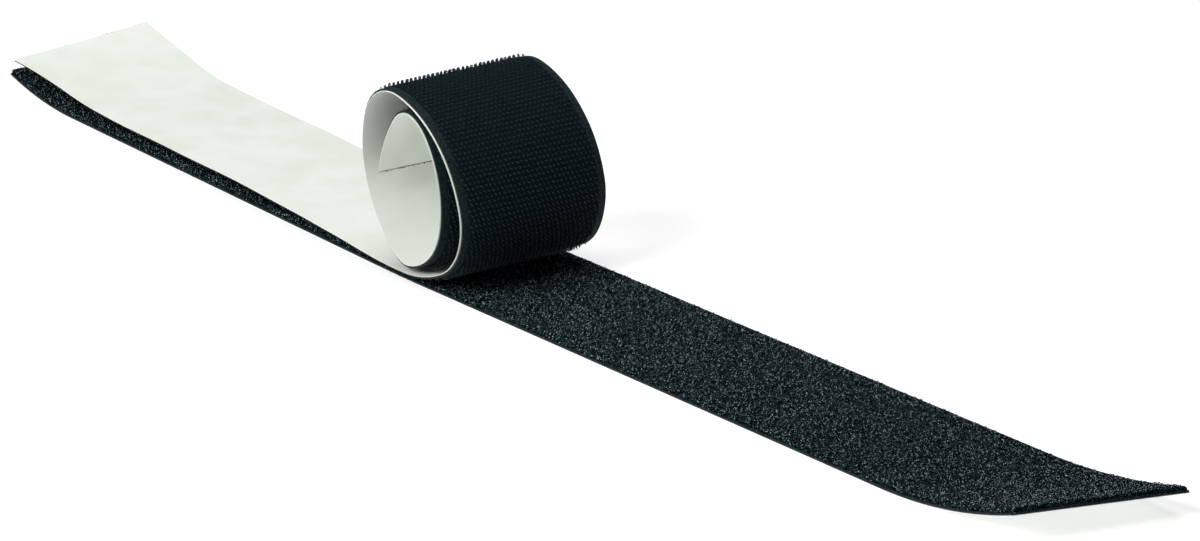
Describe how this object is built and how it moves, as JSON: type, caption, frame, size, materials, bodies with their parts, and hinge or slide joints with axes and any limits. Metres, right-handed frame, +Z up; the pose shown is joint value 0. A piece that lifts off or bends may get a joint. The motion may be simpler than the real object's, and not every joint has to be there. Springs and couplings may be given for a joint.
{
  "type": "hook and loop tape roll",
  "caption": "Self-adhesive hook and loop tapes with peel-off paper liners: the loop tape lies flat, and the hook tape lies on it and ends in a loose open roll.",
  "frame": {"origin": "under the middle of the whole pair of tapes, on the surface it lies on", "axes": "+X along the tapes from the hook tape's free end to the loop tape's open end, +Y across them away from the viewer of the picture, +Z up"},
  "size_m": [0.5132, 0.063, 0.0581],
  "materials": {
    "release_paper": "smooth silicone-coated paper, faintly green white",
    "adhesive": "thin pale translucent glue",
    "back_coating": "dull dark binder",
    "ground_weave": "close black weave with ribbed selvedges",
    "loop_pile": "fuzzy black loop pile",
    "hooks": "rows of small stiff black hooks"
  },
  "bodies": {
    "loop_liner": {"loop_release_liner": "release_paper"},
    "loop_tape": {"loop_adhesive": "adhesive", "loop_back_coating": "back_coating", "loop_ground_weave": "ground_weave", "loop_pile": "loop_pile"},
    "hook_tape_flat": {"hook_adhesive_flat": "adhesive", "hook_back_coating_flat": "back_coating", "hook_ground_weave_flat": "ground_weave", "hook_field_flat": "hooks"},
    "hook_tape_roll": {"hook_adhesive_roll": "adhesive", "hook_back_coating_roll": "back_coating", "hook_ground_weave_roll": "ground_weave", "hook_field_roll": "hooks"},
    "hook_liner_flat": {"hook_liner_flat": "release_paper"},
    "hook_liner_roll": {"hook_liner_roll": "release_paper"}
  },
  "joints": [
    {"name": "loop_tape_lift", "type": "slide", "parent": "loop_liner", "child": "loop_tape", "axis": [0, 0, 1], "range_m": [0, 0.08]},
    {"name": "hook_tape_lift", "type": "slide", "parent": "loop_tape", "child": "hook_tape_flat", "axis": [0, 0, 1], "range_m": [0, 0.1]},
    {"name": "roll_peel", "type": "hinge", "parent": "hook_tape_flat", "child": "hook_tape_roll", "pos_m": [-0.07605, -0.00363, 0.00563], "axis": [0, -1, 0], "range_deg": [0, 80]},
    {"name": "hook_liner_slide", "type": "slide", "parent": "hook_tape_flat", "child": "hook_liner_flat", "axis": [0, -1, 0], "range_m": [0, 0.06]},
    {"name": "hook_liner_bend", "type": "hinge", "parent": "hook_liner_flat", "child": "hook_liner_roll", "pos_m": [-0.07605, -0.00363, 0.00563], "axis": [0, -1, 0], "range_deg": [0, 80]}
  ],
  "couplings": [
    {"joint": "hook_liner_bend", "follows": "roll_peel", "ratio": 1}
  ]
}
